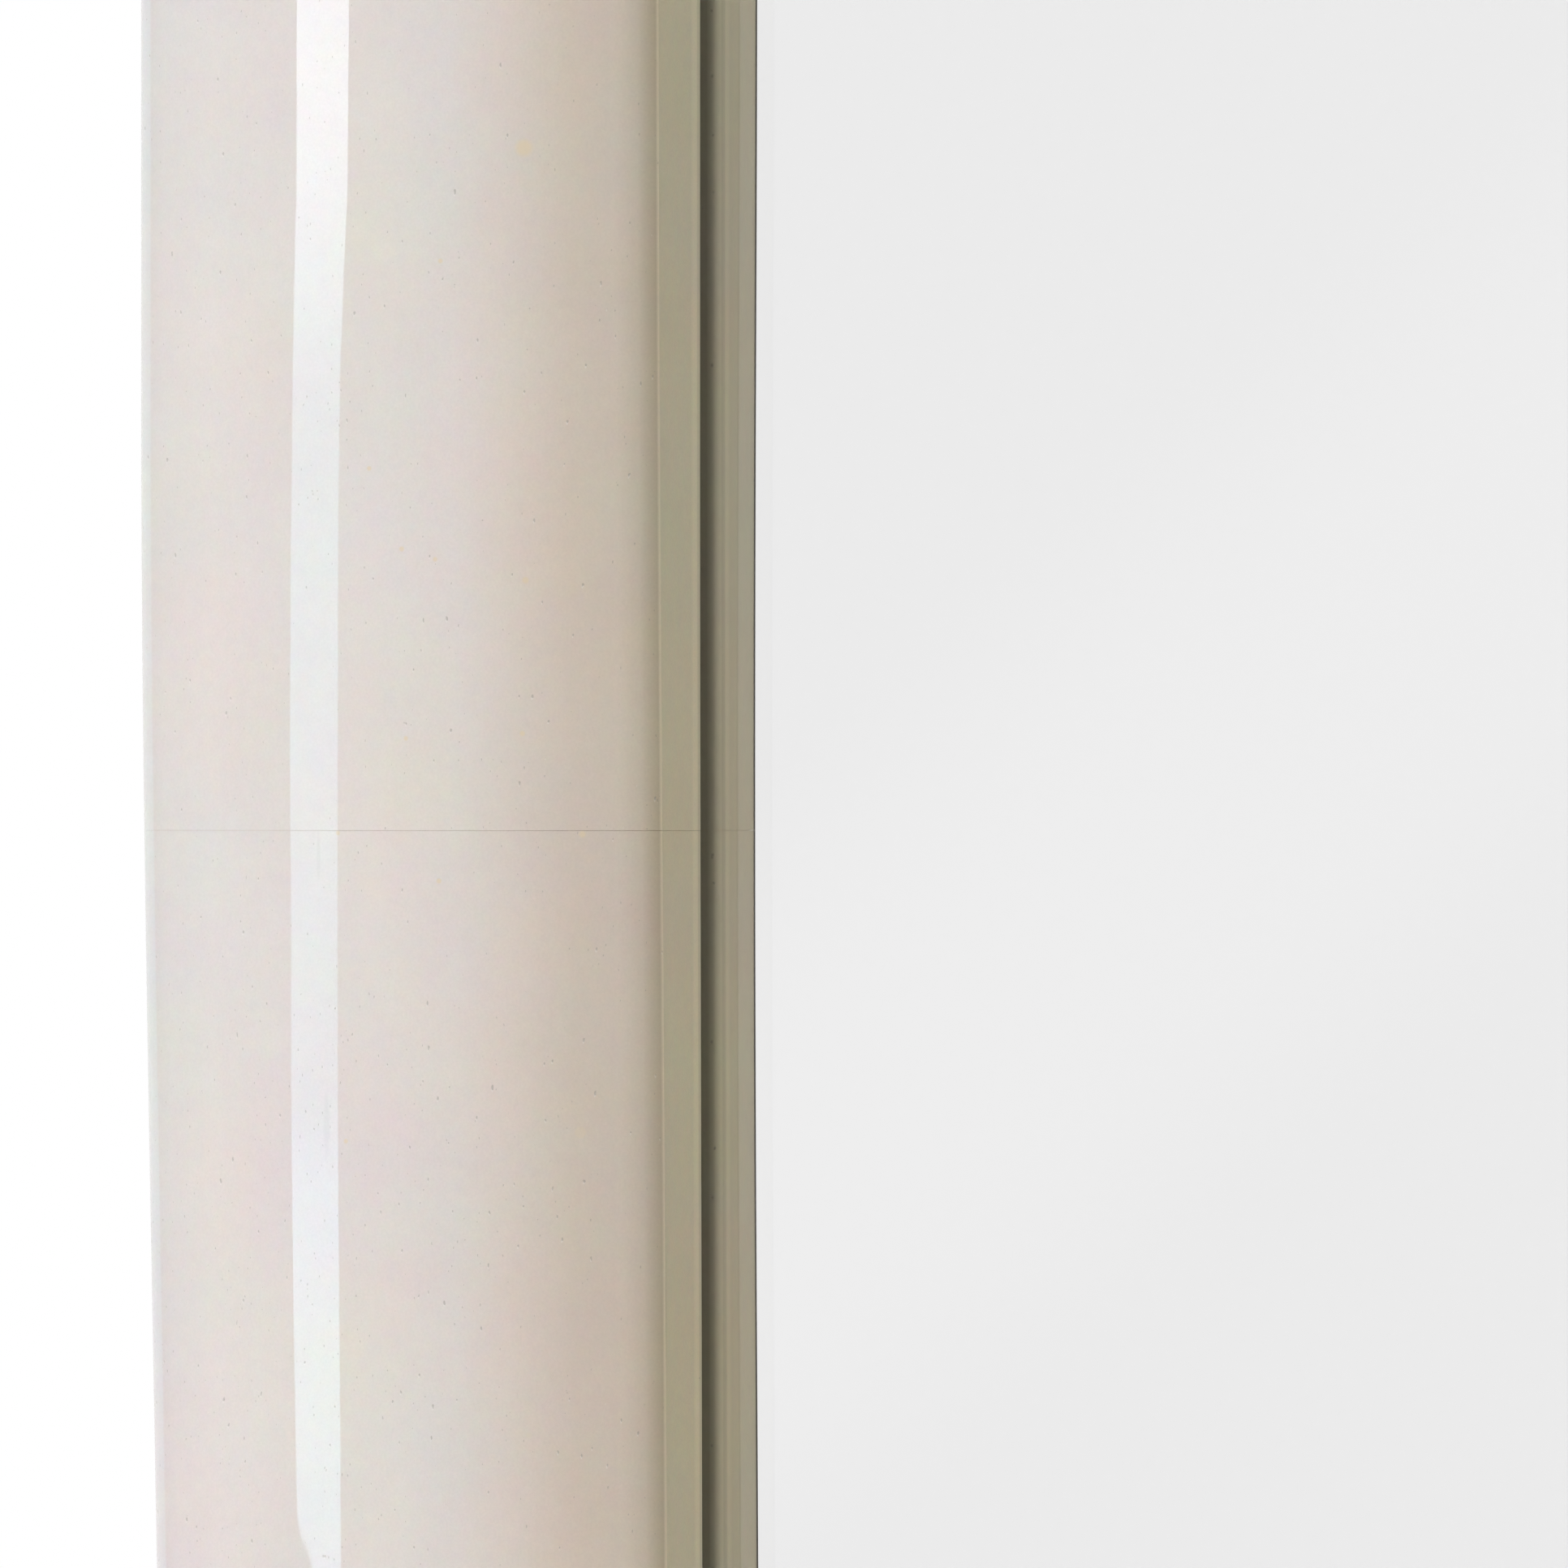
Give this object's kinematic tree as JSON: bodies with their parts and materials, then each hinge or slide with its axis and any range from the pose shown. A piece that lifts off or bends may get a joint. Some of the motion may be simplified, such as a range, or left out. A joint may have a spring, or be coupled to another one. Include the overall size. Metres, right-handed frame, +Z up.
{
  "type": "full length mirror",
  "caption": "Tall wall mirror in a wide convex gloss lacquered frame with a sharp inner arris, hung by a cleat on a wall bar, its back board held by turn buttons.",
  "frame": {"origin": "middle of the wall bar's row of screw holes, on the wall", "axes": "+Z up, the mirror's front faces -Y and +Y points into the wall; +X is to the right as the viewer sees the front"},
  "size_m": [0.68, 0.049, 1.78],
  "materials": {
    "lacquer": "glossy off-white lacquer",
    "timber": "planed, sealed",
    "spline_plywood": "plywood",
    "zinc_plate": "zinc plated",
    "screw_steel": "zinc plated",
    "button_steel": "nickel plated",
    "mirror_glass": "clear float glass, faintly green",
    "silver": "silvered, painted on the back",
    "black_felt": "felt",
    "foam": "closed cell foam",
    "hardboard": "hardboard",
    "packing_rubber": "black rubber",
    "bar_aluminium": "mill finish",
    "buffer_rubber": "grey rubber"
  },
  "bodies": {
    "wall_bar": {"wall_bar": "bar_aluminium"},
    "mirror": {"bottom_facing": "lacquer", "top_facing": "lacquer", "left_facing_upper": "lacquer", "left_facing_lower": "lacquer", "right_facing_upper": "lacquer", "right_facing_lower": "lacquer", "bottom_rail_core": "timber", "right_stile_core": "timber", "top_rail_core": "timber", "left_stile_core": "timber", "mitre_spline_bottom_left": "spline_plywood", "mitre_spline_bottom_right": "spline_plywood", "mitre_spline_top_right": "spline_plywood", "mitre_spline_top_left": "spline_plywood", "corner_plate_bottom_left": "zinc_plate", "corner_plate_bottom_right": "zinc_plate", "corner_plate_top_right": "zinc_plate", "corner_plate_top_left": "zinc_plate", "corner_plate_screws": "screw_steel", "turn_button_screws": "screw_steel", "frame_cleat_screws": "screw_steel", "mirror_glass": "mirror_glass", "silver_coat": "silver", "bottom_felt": "black_felt", "right_felt": "black_felt", "top_felt": "black_felt", "left_felt": "black_felt", "foam_sheet": "foam", "backing_board": "hardboard", "setting_block_left": "packing_rubber", "setting_block_right": "packing_rubber", "side_packer_left_lower": "packing_rubber", "side_packer_left_upper": "packing_rubber", "side_packer_right_lower": "packing_rubber", "side_packer_right_upper": "packing_rubber", "frame_cleat": "bar_aluminium", "wall_buffer_left": "buffer_rubber", "wall_buffer_right": "buffer_rubber"},
    "button_bottom": {"turn_button_bottom": "button_steel"},
    "button_right_lower": {"turn_button_right_lower": "button_steel"},
    "button_right_middle": {"turn_button_right_middle": "button_steel"},
    "button_right_upper": {"turn_button_right_upper": "button_steel"},
    "button_top": {"turn_button_top": "button_steel"},
    "button_left_upper": {"turn_button_left_upper": "button_steel"},
    "button_left_middle": {"turn_button_left_middle": "button_steel"},
    "button_left_lower": {"turn_button_left_lower": "button_steel"}
  },
  "joints": [
    {"name": "lift_off", "type": "slide", "parent": "wall_bar", "child": "mirror", "axis": [0, 0, 1], "range_m": [0, 0.013]},
    {"name": "swivel_bottom", "type": "hinge", "parent": "mirror", "child": "button_bottom", "pos_m": [0, -0.0095, -1.66], "axis": [0, 1, 0], "range_deg": [-100, 100]},
    {"name": "swivel_right_lower", "type": "hinge", "parent": "mirror", "child": "button_right_lower", "pos_m": [0.274, -0.0095, -1.459], "axis": [0, 1, 0], "range_deg": [-100, 100]},
    {"name": "swivel_right_middle", "type": "hinge", "parent": "mirror", "child": "button_right_middle", "pos_m": [0.274, -0.0095, -0.836], "axis": [0, 1, 0], "range_deg": [-100, 100]},
    {"name": "swivel_right_upper", "type": "hinge", "parent": "mirror", "child": "button_right_upper", "pos_m": [0.274, -0.0095, -0.213], "axis": [0, 1, 0], "range_deg": [-100, 100]},
    {"name": "swivel_top", "type": "hinge", "parent": "mirror", "child": "button_top", "pos_m": [0, -0.0095, -0.012], "axis": [0, 1, 0], "range_deg": [-100, 100]},
    {"name": "swivel_left_upper", "type": "hinge", "parent": "mirror", "child": "button_left_upper", "pos_m": [-0.274, -0.0095, -0.213], "axis": [0, 1, 0], "range_deg": [-100, 100]},
    {"name": "swivel_left_middle", "type": "hinge", "parent": "mirror", "child": "button_left_middle", "pos_m": [-0.274, -0.0095, -0.836], "axis": [0, 1, 0], "range_deg": [-100, 100]},
    {"name": "swivel_left_lower", "type": "hinge", "parent": "mirror", "child": "button_left_lower", "pos_m": [-0.274, -0.0095, -1.459], "axis": [0, 1, 0], "range_deg": [-100, 100]}
  ]
}
